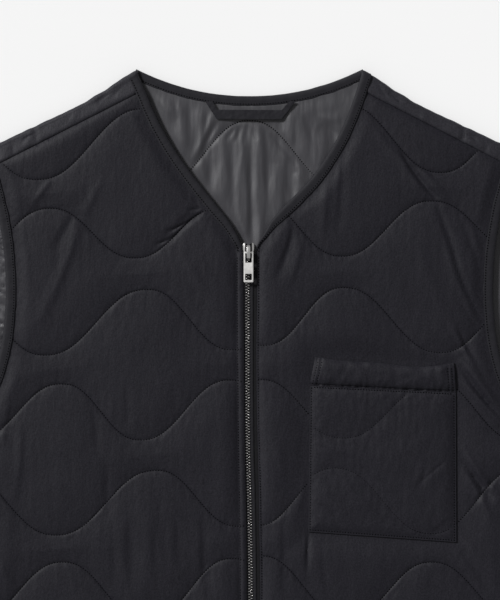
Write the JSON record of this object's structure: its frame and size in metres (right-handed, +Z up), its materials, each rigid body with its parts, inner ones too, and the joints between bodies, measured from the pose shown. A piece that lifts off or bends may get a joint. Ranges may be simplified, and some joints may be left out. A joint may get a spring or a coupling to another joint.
{
  "type": "quilted zip vest",
  "caption": "Sleeveless quilted vest laid flat: V neck, full front zip, bound edges, a chest patch pocket and a hanger loop, with wavy quilt lines front and back.",
  "frame": {"origin": "on the surface that the vest lies on, under the middle of its box", "axes": "+X towards the wearer's left, +Y from the hem to the neck, +Z up from the surface, with the back underneath"},
  "size_m": [0.584, 0.68, 0.0148],
  "materials": {
    "shell": "crinkled nylon with a soft sheen",
    "lining": "smooth satin-like nylon",
    "binding": "plain nylon tape with a soft sheen",
    "zip_tape": "matt woven tape",
    "zip_metal": "polished plating with fine scratches"
  },
  "bodies": {
    "vest": {"back": "shell", "back_lining": "lining", "front_left": "shell", "front_right": "shell", "neck_binding_left": "binding", "neck_binding_right": "binding", "neck_binding_back": "binding", "armhole_binding_front_left": "binding", "armhole_binding_front_right": "binding", "armhole_binding_back_left": "binding", "armhole_binding_back_right": "binding", "hem_binding_front_left": "binding", "hem_binding_front_right": "binding", "hem_binding_back": "binding", "pocket": "shell", "pocket_band": "shell", "hanger_loop": "binding", "zip_tape_left": "zip_tape", "zip_tape_right": "zip_tape", "zip_chain": "zip_metal", "zip_box": "zip_metal", "slider": "zip_metal"},
    "pull_tab": {"pull": "zip_metal"}
  },
  "joints": [
    {"name": "pull_hinge", "type": "hinge", "parent": "vest", "child": "pull_tab", "pos_m": [0, 0.1757, 0.01235], "axis": [-1, 0, 0], "range_deg": [0, 170]}
  ]
}
